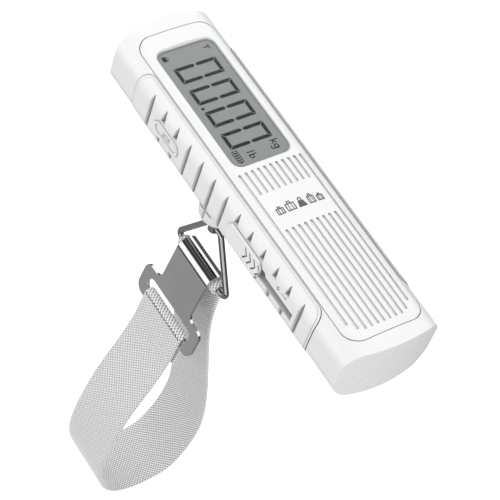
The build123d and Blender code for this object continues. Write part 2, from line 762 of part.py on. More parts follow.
def clip_place(part):
    """Moves a part from the clip's own frame to the ring's base bar, leaning by the clip's tilt.

    In the clip's frame the bar is the X axis, the plate hangs along -Z and its face is towards -Y.
    """
    return Pos(STEM_X, STEM_Y, BAR_Z) * Rot(-CLIP_TILT, 0, 0) * part


def clip_face():
    """Front outline of the clip plate below the hook: narrow head, wide foot with round ears."""
    head = CLIP_HEAD_WIDTH / 2
    foot = CLIP_FOOT_WIDTH / 2
    ear_top = -CLIP_LENGTH + 14.0
    half = [(head, 0), (head, ear_top), (foot, ear_top), (foot, -CLIP_LENGTH)]
    with BuildSketch(Plane.XZ) as outline:
        with BuildLine():
            Polyline(*half, *[(-x, z) for x, z in reversed(half)], close=True)
        make_face()
        ends = outline.vertices().sort_by(Axis.Y)
        fillet(ends[:2], 4.2)
        ears = outline.vertices().filter_by(lambda v: abs(v.Y - ear_top) < 0.01)
        fillet(ears.filter_by(lambda v: abs(v.X) < head + 0.1), 3.0)
        ears = outline.vertices().filter_by(lambda v: abs(v.Y - ear_top) < 0.01)
        fillet(ears.filter_by(lambda v: abs(v.X) > foot - 0.1), 3.0)
        with Locations((0, -CLIP_SLOT_ALONG)):
            SlotOverall(CLIP_SLOT_LENGTH, CLIP_SLOT_HEIGHT, mode=Mode.SUBTRACT)
    return outline.sketch


def make_clip_plate():
    """Pressed steel clip: hook curled over the ring's bar, plate and slotted foot."""
    mid_r = HOOK_R + CLIP_THICK / 2
    plate = side_prism(clip_face(), -mid_r - CLIP_THICK / 2, -mid_r + CLIP_THICK / 2)
    curl = Rot(0, 90, 0) * (Cylinder(HOOK_R + CLIP_THICK, CLIP_HEAD_WIDTH) - Cylinder(HOOK_R, CLIP_HEAD_WIDTH))
    mouth = block(-20, 20, 0, 10, -10, 0.6)
    lower = block(-20, 20, -10, 10, -10, 0)
    curl -= lower
    curl -= mouth
    return clip_place(plate + curl)


def clip_point(out, along):
    """YZ position of a point in front of the clip's bar axis and along its plate."""
    tilt = math.radians(CLIP_TILT)
    y = STEM_Y - out * math.cos(tilt) - along * math.sin(tilt)
    z = BAR_Z + out * math.sin(tilt) - along * math.cos(tilt)
    return y, z


def strap_tuck():
    """Centre line of the sewn end: up behind the clip's foot and over it through the slot."""
    middle = HOOK_R + CLIP_THICK / 2
    bend = STRAP_THICK / 2 + CLIP_THICK / 2 + 0.2
    foot_top = CLIP_SLOT_ALONG + CLIP_SLOT_HEIGHT / 2
    turn = foot_top + 0.3
    places = [(middle - bend, 43.0), (middle - bend, 38.0), (middle - bend, 33.0)]
    for degrees in (180, 135, 90, 45, 0):
        angle = math.radians(degrees)
        places.append((middle + bend * math.cos(angle), turn - bend * math.sin(angle)))
    return [clip_point(out, along) for out, along in places]


def strap_line():
    """Centre line of the webbing in the YZ plane, from the clip's foot round to the ring's bar."""
    return [clip_point(5.1, 34.0), clip_point(5.0, 44.0), (-28.2, -111.0), (-33.2, -125.0), (-36.8, -140.0),
            (-38.5, -154.0), (-38.2, -164.0), (-35.4, -174.0), (-30.0, -182.6), (-23.9, -186.8),
            (-13.5, -188.3), (-2.9, -185.5), (2.9, -176.8), (5.7, -167.7), (6.7, -158.6), (5.7, -147.4),
            (2.8, -131.8), (-0.9, -116.2), (-4.6, -101.0), (-8.0, -86.3), (-9.8, -74.5), (-10.2, -65.0),
            (-10.25, -54.8)]


def webbing_band(line, thick):
    """Band of even thickness along a line in the YZ plane, as wide as the strap."""
    with BuildLine() as path:
        curve = Spline(*line)
    steps = 6 * len(line)
    sides = {-1: [], 1: []}
    for i in range(steps + 1):
        here = curve @ (i / steps)
        along = curve % (i / steps)
        for side in sides:
            shift = side * thick / 2
            sides[side].append((here.X - along.Y * shift, here.Y + along.X * shift))
    with BuildSketch(Plane.YZ) as face:
        with BuildLine():
            Spline(*sides[-1])
            Line(sides[-1][-1], sides[1][-1])
            Spline(*reversed(sides[1]))
            Line(sides[1][0], sides[-1][0])
        make_face()
    band = extrude(face.sketch, STRAP_WIDTH / 2, both=True)
    return Pos(STRAP_X, 0, 0) * band


def make_webbing_strap():
    """Plain closed solid of the webbing loop, wrapped round the ring's bar."""
    inner = RING_WIRE_R + 0.1
    wrap = Rot(0, 90, 0) * (Cylinder(inner + STRAP_THICK, STRAP_WIDTH) - Cylinder(inner, STRAP_WIDTH))
    bore = Rot(0, 90, 0) * Cylinder(inner, 2 * STRAP_WIDTH)
    loop = webbing_band(strap_tuck() + strap_line(), STRAP_THICK)
    loop += Pos(STRAP_X, STEM_Y, BAR_Z) * wrap
    return loop - Pos(STRAP_X, STEM_Y, BAR_Z) * bore


# ---- wiring -------------------------------------------------------------------------------
def wire_tube(points, radius):
    """Round insulated wire along a smooth path."""
    with BuildLine() as path:
        Spline(*points)
    line = path.wires()[0]
    profile = Plane(origin=line @ 0, z_dir=line % 0) * Circle(radius)
    return sweep(profile, path=line)


def make_cell_wires():
    """Pair of wires from the strain gauges to the board."""
    wires = []
    for i in range(2):
        y = -6.4 + 1.4 * i
        wires.append(wire_tube([(-15.0, y, -13.2), (-20.0, y + 1.0, -12.2), (-26.0, y + 1.4, -10.4),
                                (-30.0, y + 1.4, -8.9)], 0.5))
    return Compound(children=wires)


def make_generator_wires():
    """Pair of wires from the generator can to the board."""
    wires = []
    for i in range(2):
        y = -5.5 + 1.5 * i
        wires.append(wire_tube([(27.6, y, -6.4), (20.0, y + 3.0, -6.8), (8.0, y + 8.0, -9.2),
                                (-4.0, y + 10.0, -10.4), (-10.0, y + 10.5, -8.6)], 0.5))
    return Compound(children=wires)


def main():
    os.makedirs("parts", exist_ok=True)
    nodes = {
        "housing": make_housing(),
        "front_panel": make_front_panel(),
        "grip_panel_strap_side": make_strap_grip(),
        "grip_panel_far_side": make_far_grip(),
        "case_screws": make_case_screws(),
        "display_lens": make_display_lens(),
        "lcd_film": make_lcd_film(),
        "lcd_glass": make_lcd_glass(),
        "lcd_frame": make_lcd_frame(),
        "zebra_strips": make_zebra_strips(),
        "main_pcb": make_main_pcb(),
        "pcb_screws": make_pcb_screws(),
        "tact_switch": make_tact_switch(),
        "unit_button": make_unit_button(),
        "supercapacitor": make_supercapacitor(),
        "power_slider": make_power_slider(),
        "slider_shutter": make_slider_shutter(),
        "slot_liner": make_slot_liner(),
        "drive_gear": make_drive_gear(),
        "generator_rotor": make_generator_rotor(),
        "generator_can": make_generator_can(),
        "gear_frame_base": make_gear_frame_base(),
        "gear_frame_top": make_gear_frame_top(),
        "gear_frame_screws": make_gear_frame_screws(),
        "load_cell": make_load_cell(),
        "strain_gauges": make_strain_gauges(),
        "load_cell_bracket": make_load_cell_bracket(),
        "load_cell_screws": make_load_cell_screws(),
        "stem": make_stem(),
        "thrust_washer": make_thrust_washer(),
        "stem_nut": make_stem_nut(),
        "triangle_ring": make_ring(),
        "clip_plate": make_clip_plate(),
        "webbing_strap": make_webbing_strap(),
        "load_cell_wires": make_cell_wires(),
        "generator_wires": make_generator_wires(),
    }
    for name, shape in nodes.items():
        export_step(shape, f"parts/{name}.step")


main()
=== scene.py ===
"""Looks of the hand-held digital luggage scale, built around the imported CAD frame.  Metres."""

import json
import math

import bpy
import numpy as np
from mathutils import Matrix, Vector


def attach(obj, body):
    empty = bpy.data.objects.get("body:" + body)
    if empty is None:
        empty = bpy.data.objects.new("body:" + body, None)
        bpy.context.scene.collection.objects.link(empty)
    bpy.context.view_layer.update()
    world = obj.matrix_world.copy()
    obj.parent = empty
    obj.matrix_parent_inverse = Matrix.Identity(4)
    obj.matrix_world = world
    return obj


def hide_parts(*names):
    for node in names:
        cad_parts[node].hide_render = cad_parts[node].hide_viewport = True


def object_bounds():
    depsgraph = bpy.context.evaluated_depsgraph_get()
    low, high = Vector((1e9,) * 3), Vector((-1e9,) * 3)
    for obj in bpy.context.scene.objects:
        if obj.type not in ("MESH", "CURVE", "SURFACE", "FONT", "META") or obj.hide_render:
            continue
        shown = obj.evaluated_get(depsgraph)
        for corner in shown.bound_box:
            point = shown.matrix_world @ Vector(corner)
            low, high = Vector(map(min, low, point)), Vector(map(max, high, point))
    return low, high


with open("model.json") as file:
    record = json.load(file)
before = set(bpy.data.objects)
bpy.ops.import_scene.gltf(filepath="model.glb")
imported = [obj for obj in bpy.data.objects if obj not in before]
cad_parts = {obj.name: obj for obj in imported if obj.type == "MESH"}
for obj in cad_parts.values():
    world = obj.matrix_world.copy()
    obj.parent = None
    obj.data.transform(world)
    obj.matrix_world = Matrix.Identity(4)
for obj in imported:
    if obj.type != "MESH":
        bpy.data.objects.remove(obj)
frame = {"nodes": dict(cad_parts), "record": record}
CAD_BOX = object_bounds()
NODES = frame["nodes"]
MM = 0.001

# ---- places the looks are hung on, in millimetres ------------------------------------------
FACE_CROWN_R = 140.0
CONTROL_Z = -12.6
BUTTON_X = -35.0
CHARGE_SIGN_X = 35.6
CHARGE_SIGN_Z = -9.6
STEM_Y = -12.2
BAR_Z = -54.8
CLIP_TILT = math.radians(9.0)
STRAP_X = -7.0
STRAP_WIDTH = 24.4
STRAP_THICK = 1.0
STRAP_COLUMNS = 73
WEAVE_HEIGHT = 0.32
STRAP_WRAP_R = 1.95
STRAP_OUT = 5.1
STITCH_ALONG = 28.1
STITCH_PITCH = 1.55
STITCH_HALF = 0.42
STITCH_R = 0.2
INK_Z = -1.42
SIGN_LINE = 0.42
LABEL_X = 13.5
LABEL_BASE = -2.0
SIDE_Y = -20.05
PRINT_LIFT = 0.012


# ---- node helpers --------------------------------------------------------------------------
class Nodes:
    """A material's node tree with short calls for adding and joining nodes."""

    def __init__(self, name):
        self.material = bpy.data.materials.new(name)
        self.material.use_nodes = True
        self.tree = self.material.node_tree
        self.shader = self.tree.nodes["Principled BSDF"]
        self.output = self.tree.nodes["Material Output"]

    def add(self, kind, **values):
        """Adds a node and sets its properties."""
        node = self.tree.nodes.new(kind)
        for key, value in values.items():
            setattr(node, key, value)
        return node

    def join(self, source, target):
        """Joins an output socket to an input socket."""
        self.tree.links.new(source, target)

    def place(self):
        """Object coordinates in metres."""
        return self.add("ShaderNodeTexCoord").outputs["Object"]

    def noise(self, scale, detail=2.0, stretch=(1, 1, 1)):
        """Noise texture over object coordinates, returned as its factor socket."""
        mapping = self.add("ShaderNodeMapping")
        mapping.inputs["Scale"].default_value = stretch
        self.join(self.place(), mapping.inputs["Vector"])
        noise = self.add("ShaderNodeTexNoise")
        noise.inputs["Scale"].default_value = scale
        noise.inputs["Detail"].default_value = detail
        self.join(mapping.outputs["Vector"], noise.inputs["Vector"])
        return noise.outputs["Fac"]

    def spread(self, factor, low, high):
        """Maps a 0 to 1 socket onto low to high."""
        ranged = self.add("ShaderNodeMapRange")
        ranged.inputs["From Min"].default_value = 0.3
        ranged.inputs["From Max"].default_value = 0.7
        ranged.inputs["To Min"].default_value = low
        ranged.inputs["To Max"].default_value = high
        self.join(factor, ranged.inputs["Value"])
        return ranged.outputs["Result"]

    def tint(self, factor, first, second):
        """Blends two colours by a 0 to 1 socket."""
        mix = self.add("ShaderNodeMix", data_type="RGBA")
        mix.inputs["A"].default_value = (*first, 1)
        mix.inputs["B"].default_value = (*second, 1)
        self.join(factor, mix.inputs["Factor"])
        return mix.outputs["Result"]

    def bump(self, height, distance, strength=1.0, normal=None):
        """Bump from a height socket, in metres."""
        bump = self.add("ShaderNodeBump")
        bump.inputs["Distance"].default_value = distance
        bump.inputs["Strength"].default_value = strength
        self.join(height, bump.inputs["Height"])
        if normal is not None:
            self.join(normal, bump.inputs["Normal"])
        return bump.outputs["Normal"]

    def soft_edges(self, radius):
        """Normals rounded over sharp edges by radius metres."""
        bevel = self.add("ShaderNodeBevel", samples=6)
        bevel.inputs["Radius"].default_value = radius
        return bevel.outputs["Normal"]

    def painted_gap_shade(self, colour, reach, depth):
        """Painted shade: darkens a colour socket by ambient occlusion in narrow gaps, where shade falls;
        depth is the share of colour left in them.
        """
        shade = self.add("ShaderNodeAmbientOcclusion", samples=8)
        shade.inputs["Distance"].default_value = reach
        ranged = self.add("ShaderNodeMapRange")
        ranged.inputs["From Min"].default_value = 0.25
        ranged.inputs["From Max"].default_value = 0.85
        ranged.inputs["To Min"].default_value = depth
        self.join(shade.outputs["AO"], ranged.inputs["Value"])
        mix = self.add("ShaderNodeMix", data_type="RGBA", blend_type="MULTIPLY")
        mix.inputs["Factor"].default_value = 1.0
        self.join(colour, mix.inputs["A"])
        self.join(ranged.outputs["Result"], mix.inputs["B"])
        return mix.outputs["Result"]

    def set(self, **values):
        """Sets inputs of the principled shader by name, underscores for spaces."""
        for key, value in values.items():
            self.shader.inputs[key.replace("_", " ")].default_value = value


def plastic(name, colour, roughness, grain=0.00001, edge=0.0002, scatter=0.0, coat=0.0, painted_gap_shade=None,
            shine=0.5):
    """Moulded plastic: slight colour drift, fine moulded grain, softened edges, and painted shade in narrow
    gaps where one is given.
    """
    n = Nodes(name)
    darker = tuple(c * 0.965 for c in colour)
    tone = n.tint(n.noise(28, 3), darker, colour)
    # Painted shade: the base colour darkens in narrow gaps where one is given.
    n.join(n.painted_gap_shade(tone, *painted_gap_shade) if painted_gap_shade else tone, n.shader.inputs["Base Color"])
    n.join(n.spread(n.noise(160, 4), roughness * 0.88, roughness * 1.15), n.shader.inputs["Roughness"])
    normal = n.soft_edges(edge) if edge else None
    n.join(n.bump(n.noise(5200, 2), grain, 0.35, normal), n.shader.inputs["Normal"])
    n.set(Coat_Weight=coat, Coat_Roughness=0.12, Subsurface_Weight=scatter, Subsurface_Scale=0.002,
          Specular_IOR_Level=shine)
    return n.material


def metal(name, colour, roughness, brush=(1, 1, 1), brush_depth=0.000004, edge=0.00012):
    """Plated or brushed metal with fine drawn lines and slight tarnish."""
    n = Nodes(name)
    darker = tuple(c * 0.82 for c in colour)
    n.join(n.tint(n.noise(90, 4), darker, colour), n.shader.inputs["Base Color"])
    n.join(n.spread(n.noise(700, 5, brush), roughness * 0.75, roughness * 1.3), n.shader.inputs["Roughness"])
    n.join(n.bump(n.noise(2600, 3, brush), brush_depth, 0.5, n.soft_edges(edge)), n.shader.inputs["Normal"])
    n.set(Metallic=1.0)
    return n.material


def clear_lens(name):
    """Clear flat lens: see-through with a faint sheen that grows at grazing angles."""
    n = Nodes(name)
    clear = n.add("ShaderNodeBsdfTransparent")
    clear.inputs["Color"].default_value = (0.96, 0.97, 0.965, 1)
    gloss = n.add("ShaderNodeBsdfGlossy")
    n.join(n.spread(n.noise(60, 3), 0.05, 0.11), gloss.inputs["Roughness"])
    gloss.inputs["Color"].default_value = (1, 1, 1, 1)
    facing = n.add("ShaderNodeFresnel")
    facing.inputs["IOR"].default_value = 1.36
    faint = n.add("ShaderNodeMath", operation="MULTIPLY")
    faint.inputs[1].default_value = 0.22
    n.join(facing.outputs["Fac"], faint.inputs[0])
    mix = n.add("ShaderNodeMixShader")
    n.join(faint.outputs["Value"], mix.inputs["Fac"])
    n.join(clear.outputs["BSDF"], mix.inputs[1])
    n.join(gloss.outputs["BSDF"], mix.inputs[2])
    n.join(mix.outputs["Shader"], n.output.inputs["Surface"])
    return n.material


def fabric(name, colour):
    """Woven polyester: matt, slightly hairy, with painted shade darkening the hollows between the yarns."""
    n = Nodes(name)
    darker = tuple(c * 0.93 for c in colour)
    tone = n.tint(n.noise(420, 4), darker, colour)
    hollow_shade = n.add("ShaderNodeAttribute", attribute_name="hollow_shade")
    # Painted shade: the colour falls towards near black where the yarns dip under their neighbours.
    shade = n.add("ShaderNodeMix", data_type="RGBA")
    shade.inputs["B"].default_value = (*(c * 0.17 for c in colour), 1)
    deep = n.add("ShaderNodeMapRange")
    deep.inputs["From Min"].default_value = 0.34
    deep.inputs["From Max"].default_value = 0.82
    n.join(hollow_shade.outputs["Fac"], deep.inputs["Value"])
    n.join(tone, shade.inputs["A"])
    n.join(deep.outputs["Result"], shade.inputs["Factor"])
    n.join(shade.outputs["Result"], n.shader.inputs["Base Color"])
    n.join(n.spread(n.noise(2500, 3), 0.62, 0.85), n.shader.inputs["Roughness"])
    n.join(n.bump(n.noise(9000, 3), 0.00003, 0.5), n.shader.inputs["Normal"])
    n.set(Sheen_Weight=0.25, Sheen_Roughness=0.5)
    return n.material


def make_materials():
    """Every finish by name."""
    white = (0.86, 0.86, 0.865)
    return {
        # The gap settings paint ambient-occlusion shade into the white mouldings' colour, given as reach in
        # metres and the share of colour left.
        "white_body": plastic("white_body", white, 0.30, scatter=0.06, coat=0.15, painted_gap_shade=(0.0009, 0.55)),
        "white_grip": plastic("white_grip", white, 0.36, scatter=0.06, painted_gap_shade=(0.0019, 0.28)),
        "white_control": plastic("white_control", (0.87, 0.87, 0.875), 0.34, edge=0.00015,
                                 painted_gap_shade=(0.0012, 0.22)),
        "lens": clear_lens("lens"),
        "lcd": plastic("lcd", (0.325, 0.338, 0.33), 0.45, grain=0.000001, edge=0, shine=0.1),
        "lcd_ink": plastic("lcd_ink", (0.006, 0.007, 0.007), 0.5, grain=0.000001, edge=0, shine=0.1),
        "print_ink": plastic("print_ink", (0.10, 0.10, 0.105), 0.5, grain=0.000001, edge=0),
        # Flat grey marks that paint the shade inside engraved and debossed signs.
        "painted_engraving_shade": plastic("painted_engraving_shade", (0.30, 0.30, 0.31), 0.5, grain=0.000001, edge=0),
        "dark_plastic": plastic("dark_plastic", (0.16, 0.16, 0.165), 0.5),
        "shutter_plastic": plastic("shutter_plastic", (0.50, 0.50, 0.505), 0.5, shine=0.2),
        "elastomer": plastic("elastomer", (0.6, 0.3, 0.36), 0.6),
        "board": plastic("board", (0.02, 0.16, 0.06), 0.4),
        "chrome_wire": metal("chrome_wire", (0.44, 0.44, 0.445), 0.07, brush_depth=0.000001),
        "satin_steel": metal("satin_steel", (0.80, 0.80, 0.805), 0.11, brush_depth=0.0000006),
        "screw_steel": metal("screw_steel", (0.55, 0.55, 0.56), 0.28),
        "cell_alloy": metal("cell_alloy", (0.7, 0.7, 0.71), 0.3, brush=(0.1, 1, 1)),
        "foil": metal("foil", (0.6, 0.38, 0.14), 0.35),
        "gear_plastic": plastic("gear_plastic", (0.82, 0.8, 0.74), 0.4),
        "rotor_steel": metal("rotor_steel", (0.35, 0.35, 0.36), 0.25),
        "cap_sleeve": plastic("cap_sleeve", (0.02, 0.03, 0.05), 0.3),
        "wire_red": plastic("wire_red", (0.5, 0.02, 0.015), 0.45),
        "wire_black": plastic("wire_black", (0.02, 0.02, 0.02), 0.45),
        "webbing": fabric("webbing", (0.95, 0.955, 0.95)),
        "thread": fabric("thread", (0.10, 0.10, 0.10)),
    }


MATERIALS = make_materials()


def paint(thing, name):
    """Gives an object one material."""
    thing.data.materials.clear()
    thing.data.materials.append(MATERIALS[name])


MOULDED = ("white_body", "white_grip", "white_control")


def paint_nodes():
    """Gives each CAD node its slot's finish; white mouldings stay out of the metal's reflections."""
    for row in frame["record"]["subparts"]:
        node = NODES[row["node"]]
        paint(node, row["material_slot"])
        node.visible_glossy = row["material_slot"] not in MOULDED


# ---- mesh helpers --------------------------------------------------------------------------
def mesh_object(name, vertices, faces, body, slot, material=None, smooth=True):
    """New mesh piece, from millimetres, riding on a body."""
    mesh = bpy.data.meshes.new(name)
    mesh.from_pydata([tuple(c * MM for c in v) for v in vertices], [], faces)
    mesh.validate()
    thing = bpy.data.objects.new(name, mesh)
    bpy.context.scene.collection.objects.link(thing)
    if smooth:
        mesh.polygons.foreach_set("use_smooth", [True] * len(mesh.polygons))
    paint(thing, material or slot)
    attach(thing, body)
    return thing


class Solid:
    """Collects closed pieces of geometry into one mesh."""

    def __init__(self):
        self.vertices = []
        self.faces = []

    def prism(self, outline, lift, depth):
        """Closed prism: a list of 3-D points, swept from lift to lift + depth along its normal."""
        points = [Vector(p) for p in outline]
        normal = Vector((0, 0, 0))
        for i, p in enumerate(points):
            q = points[(i + 1) % len(points)]
            normal += p.cross(q)
        normal.normalize()
        first = len(self.vertices)
        count = len(points)
        for offset in (lift, lift + depth):
            self.vertices += [tuple(p + normal * offset) for p in points]
        self.faces.append([first + i for i in reversed(range(count))])
        self.faces.append([first + count + i for i in range(count)])
        for i in range(count):
            j = (i + 1) % count
            self.faces.append([first + i, first + j, first + count + j, first + count + i])

    def capsule(self, start, end, radius, sides=8, rings=5):
        """Short round-ended strand from start to end."""
        start, end = Vector(start), Vector(end)
        axis = (end - start).normalized()
        side = axis.orthogonal().normalized()
        other = axis.cross(side)
        middle = (start + end) / 2
        half = (end - start).length / 2 + radius
        first = len(self.vertices)
        self.vertices.append(tuple(middle - axis * half))
        for k in range(1, rings + 1):
            turn = math.pi * k / (rings + 1)
            for i in range(sides):
                angle = 2 * math.pi * i / sides
                out = (side * math.cos(angle) + other * math.sin(angle)) * radius * math.sin(turn) ** 0.5
                self.vertices.append(tuple(middle - axis * half * math.cos(turn) + out))
        self.vertices.append(tuple(middle + axis * half))
        last = len(self.vertices) - 1
        for i in range(sides):
            j = (i + 1) % sides
            self.faces.append([first, first + 1 + j, first + 1 + i])
            for k in range(rings - 1):
                a = first + 1 + k * sides
                self.faces.append([a + i, a + j, a + sides + j, a + sides + i])
            b = first + 1 + (rings - 1) * sides
            self.faces.append([b + i, b + j, last])


# ---- webbing -------------------------------------------------------------------------------
def clip_point(out, along):
    """YZ position of a point in front of the clip's bar axis and along its plate."""
    y = STEM_Y - out * math.cos(CLIP_TILT) - along * math.sin(CLIP_TILT)
    z = BAR_Z + out * math.sin(CLIP_TILT) - along * math.cos(CLIP_TILT)
    return y, z


def smooth_line(points, step):
    """Even samples along a Catmull-Rom curve through rows of values; the first two give length."""
    rows = np.array(points, float)
    rows = np.vstack([2 * rows[0] - rows[1], rows, 2 * rows[-1] - rows[-2]])
    dense = []
    for a, b, c, d in zip(rows, rows[1:], rows[2:], rows[3:]):
        ta = 0.0
        tb = ta + max(np.linalg.norm((b - a)[:2]), 1e-6) ** 0.5
        tc = tb + max(np.linalg.norm((c - b)[:2]), 1e-6) ** 0.5
        td = tc + max(np.linalg.norm((d - c)[:2]), 1e-6) ** 0.5
        for t in np.linspace(tb, tc, 40, endpoint=False):
            a1 = (tb - t) / (tb - ta) * a + (t - ta) / (tb - ta) * b
            a2 = (tc - t) / (tc - tb) * b + (t - tb) / (tc - tb) * c
            a3 = (td - t) / (td - tc) * c + (t - tc) / (td - tc) * d
            b1 = (tc - t) / (tc - ta) * a1 + (t - ta) / (tc - ta) * a2
            b2 = (td - t) / (td - tb) * a2 + (t - tb) / (td - tb) * a3
            dense.append((tc - t) / (tc - tb) * b1 + (t - tb) / (tc - tb) * b2)
    dense.append(rows[-2])
    dense = np.array(dense)
    run = np.concatenate([[0], np.cumsum(np.linalg.norm(np.diff(dense[:, :2], axis=0), axis=1))])
    count = int(round(run[-1] / step))
    targets = np.linspace(0, run[-1], count + 1)
    return np.stack([np.interp(targets, run, values) for values in dense.T], axis=1)


# Centre line of the hanging loop in the YZ plane, read off through a camera fitted to the object.
LOOP_PLACES = [(-28.2, -111.0), (-33.2, -125.0), (-36.8, -140.0), (-38.5, -154.0), (-38.2, -164.0),
               (-35.4, -174.0), (-30.0, -182.6), (-23.9, -186.8), (-13.5, -188.3), (-2.9, -185.5),
               (2.9, -176.8), (5.7, -167.7), (6.7, -158.6), (5.7, -147.4), (2.8, -131.8), (-0.9, -116.2),
               (-4.6, -101.0), (-8.0, -86.3), (-9.8, -74.5), (-10.2, -65.0)]


def strap_rows():
    """Webbing centre line, y and z, from the sewn end round to the ring's bar."""
    middle = 3.6
    bend = 1.5
    turn = 28.5
    rows = [clip_point(middle - bend, along) for along in (43.0, 38.0, 33.0)]
    for degrees in range(180, -1, -30):
        angle = math.radians(degrees)
        rows.append(clip_point(middle + bend * math.cos(angle), turn - bend * math.sin(angle)))
    rows += [clip_point(STRAP_OUT, 34.0), clip_point(5.0, 44.0)]
    rows += LOOP_PLACES
    for degrees in range(0, 331, 30):
        angle = math.radians(degrees)
        rows.append((STEM_Y + STRAP_WRAP_R * math.cos(angle), BAR_Z + STRAP_WRAP_R * math.sin(angle)))
    return rows


def weave(u, v):
    """Plain weave over cells one yarn wide: height of the surface, and how deep each point lies."""
    column = np.floor(u)
    line = np.floor(v)
    over = ((column + line) % 2) * 2 - 1
    ridge = np.abs(np.cos((u - column - 0.5) * math.pi) * np.cos((v - line - 0.5) * math.pi))
    wave = over * ridge
    return 0.5 + 0.5 * wave, 0.5 - 0.5 * wave


def make_webbing():
    """Webbing loop as one closed woven band."""
    half, columns = STRAP_WIDTH / 2, STRAP_COLUMNS
    line = smooth_line(strap_rows(), STRAP_WIDTH / (columns - 1))
    tangent = np.gradient(line, axis=0)
    tangent /= np.linalg.norm(tangent, axis=1)[:, None]
    across = np.linspace(-half, half, columns)
    edge = np.clip((half - np.abs(across)) / 0.5, 0, 1) ** 0.5
    rows = len(line)
    u, v = np.meshgrid(np.arange(rows) / 2, np.arange(columns) / 2, indexing="ij")
    height, hollow_shade = weave(u, v)
    height = height * WEAVE_HEIGHT
    sheets = []
    for side in (-1, 1):
        out = side * (STRAP_THICK / 2 * (0.35 + 0.65 * edge)[None, :] + height * (0.3 + 0.7 * edge)[None, :])
        y = line[:, 0][:, None] - tangent[:, 1][:, None] * out
        z = line[:, 1][:, None] + tangent[:, 0][:, None] * out
        x = STRAP_X + across[None, :] + 0 * out
        sheets.append(np.stack([x, y, z], axis=2).reshape(-1, 3))
    vertices = np.vstack(sheets)
    index = np.arange(rows * columns).reshape(rows, columns)
    a, b, c, d = index[:-1, :-1], index[1:, :-1], index[1:, 1:], index[:-1, 1:]
    low = np.stack([a, b, c, d], axis=2).reshape(-1, 4)
    high = np.stack([a, d, c, b], axis=2).reshape(-1, 4) + rows * columns
    rim = np.concatenate([index[0, :], index[1:, -1], index[-1, -2::-1], index[-2:0:-1, 0]])
    after = np.roll(rim, -1)
    wall = np.stack([rim, after, after + rows * columns, rim + rows * columns], axis=1)
    faces = np.vstack([low, high, wall])
    band = mesh_object("webbing_loop", vertices.tolist(), faces.tolist(), "strap", "webbing")
    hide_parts("webbing_strap")
    # Depth of each point, which the webbing's material turns into painted shade in the hollows.
    shade = band.data.attributes.new("hollow_shade", "FLOAT", "POINT")
    shade.data.foreach_set("value", np.concatenate([hollow_shade.ravel(), hollow_shade.ravel()]))


def make_stitches():
    """Row of stitches pulled into the webbing just below its fold over the clip's foot."""
    thread = Solid()
    place = clip_point(STRAP_OUT + 0.74, STITCH_ALONG)
    for i in range(-7, 8):
        middle = STRAP_X + i * STITCH_PITCH
        thread.capsule((middle - STITCH_HALF, *place), (middle + STITCH_HALF, *place), STITCH_R)
    mesh_object("webbing_stitches", thread.vertices, thread.faces, "strap", "webbing", "thread")


class Pen:
    """Draws flat shapes a hair thick on a surface; place turns (across, up) into millimetres."""

    def __init__(self, place, depth=0.015):
        self.place = place
        self.depth = depth
        self.solid = Solid()

    def shape(self, outline):
        """Filled outline, whichever way round it is given."""
        area = sum(a[0] * b[1] - b[0] * a[1] for a, b in zip(outline, outline[1:] + outline[:1]))
        if area < 0:
            outline = outline[::-1]
        self.solid.prism([self.place(*p) for p in outline], 0, self.depth)

    def box(self, u, v, width, height):
        """Filled rectangle about its middle."""
        a, b = width / 2, height / 2
        self.shape([(u - a, v - b), (u + a, v - b), (u + a, v + b), (u - a, v + b)])

    def stroke(self, points, width):
        """Pen line of even width through the points."""
        for a, b in zip(points, points[1:]):
            run = math.hypot(b[0] - a[0], b[1] - a[1])
            du, dv = (b[0] - a[0]) / run, (b[1] - a[1]) / run
            su, sv = -dv * width / 2, du * width / 2
            eu, ev = du * width * 0.3, dv * width * 0.3
            self.shape([(a[0] - eu + su, a[1] - ev + sv), (a[0] - eu - su, a[1] - ev - sv),
                        (b[0] + eu - su, b[1] + ev - sv), (b[0] + eu + su, b[1] + ev + sv)])

    def arc(self, u, v, radius, start, end, width, steps=12):
        """Pen line along an arc, angles in degrees."""
        points = []
        for i in range(steps + 1):
            angle = math.radians(start + (end - start) * i / steps)
            points.append((u + radius * math.cos(angle), v + radius * math.sin(angle)))
        self.stroke(points, width)

    def frame(self, u, v, width, height, line):
        """Rectangle drawn in outline."""
        self.box(u, v + (height - line) / 2, width, line)
        self.box(u, v - (height - line) / 2, width, line)
        self.box(u - (width - line) / 2, v, line, height - 2 * line)
        self.box(u + (width - line) / 2, v, line, height - 2 * line)

    def finish(self, name, material):
        """Makes the drawn shapes one piece of the handle."""
        mesh_object(name, self.solid.vertices, self.solid.faces, "handle", "dark_plastic", material, False)


# ---- display -------------------------------------------------------------------------------
def draw_zero(pen, left, right, half):
    """Seven-segment zero: six bars with mitred corners and tapered ends at the middle."""
    bar, gap, taper = 1.4, 0.14, 0.75
    middle, reach = (left + right) / 2, (right - left) / 2
    for up in (-1, 1):
        pen.shape([(left + gap, up * half), (right - gap, up * half),
                   (right - gap - bar, up * (half - bar)), (left + gap + bar, up * (half - bar))])
        for side in (-1, 1):
            outer, inner = middle + side * reach, middle + side * (reach - bar)
            pen.shape([(outer, up * (half - gap)), (inner, up * (half - gap - bar)),
                       (inner, up * (gap + taper)), ((outer + inner) / 2, up * gap),
                       (outer, up * (gap + taper))])


def make_display_ink():
    """What the display shows: four zeros, a decimal point and the usual small signs."""
    pen = Pen(lambda u, v: (u, v, INK_Z))
    for left, right in [(-53.3, -46.1), (-43.0, -35.9), (-32.7, -25.5), (-22.3, -15.1)]:
        draw_zero(pen, left, right, 8.7)
    pen.box(-34.25, -8.15, 1.1, 1.1)
    pen.box(-58.3, -9.2, 2.2, 1.5)
    pen.arc(-58.3, -8.45, 0.75, 0, 180, 0.32)
    pen.box(-58.2, 9.1, 2.1, 0.4)
    pen.box(-58.2, 8.0, 0.42, 2.0)
    draw_kilograms(pen, -13.6, 6.4)
    draw_pounds(pen, -12.1, -4.1)
    draw_battery(pen, -11.8, -8.1)
    pen.finish("display_ink", "lcd_ink")


